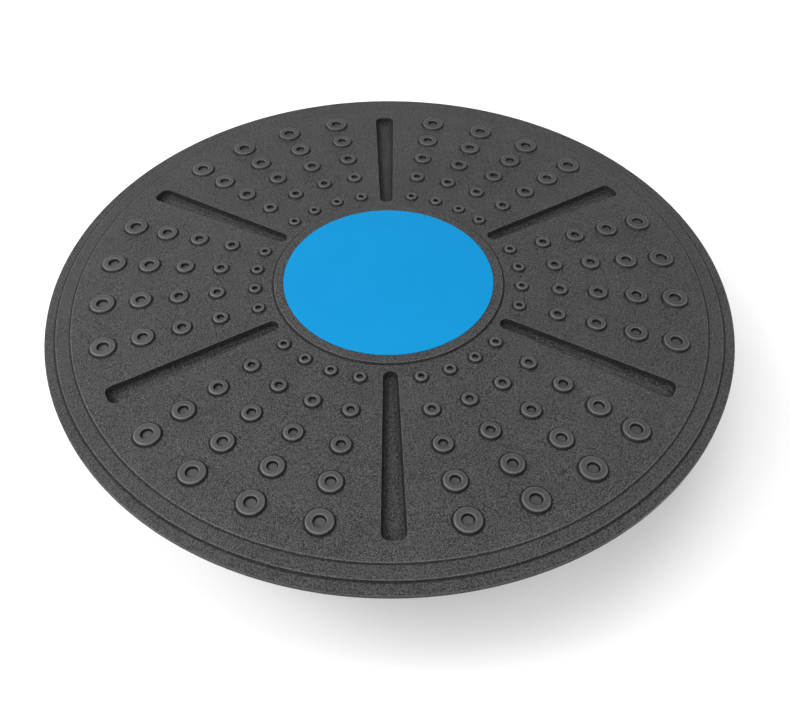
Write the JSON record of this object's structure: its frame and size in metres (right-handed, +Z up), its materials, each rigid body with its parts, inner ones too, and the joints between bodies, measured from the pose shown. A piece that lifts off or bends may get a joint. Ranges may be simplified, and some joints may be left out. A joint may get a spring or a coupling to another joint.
{
  "type": "balance board",
  "caption": "Round balance board: crowned moulded deck with ring nubs, radial grooves and a flat centre inlay, on a hollow rocker dome with a rubber grip pad.",
  "frame": {"origin": "centre of the pad's flat foot, where the board stands on the floor", "axes": "+Z up along the board's axis; -Y runs out along one groove, and +Y along the opposite one"},
  "size_m": [0.36, 0.36, 0.0751],
  "materials": {
    "deck_plastic": "matt dark grey moulded plastic with a fine leather grain",
    "inlay_blue": "smooth satin sky blue",
    "dome_plastic": "fine satin black moulded plastic",
    "pad_rubber": "matt black elastomer",
    "screw_steel": "bright zinc plating"
  },
  "bodies": {
    "root": {"deck": "deck_plastic", "centre_inlay": "inlay_blue", "rocker_dome": "dome_plastic", "dome_grip_pad": "pad_rubber", "dome_screw_1": "screw_steel", "dome_screw_2": "screw_steel", "dome_screw_3": "screw_steel", "dome_screw_4": "screw_steel", "dome_screw_5": "screw_steel", "dome_screw_6": "screw_steel"}
  },
  "joints": []
}
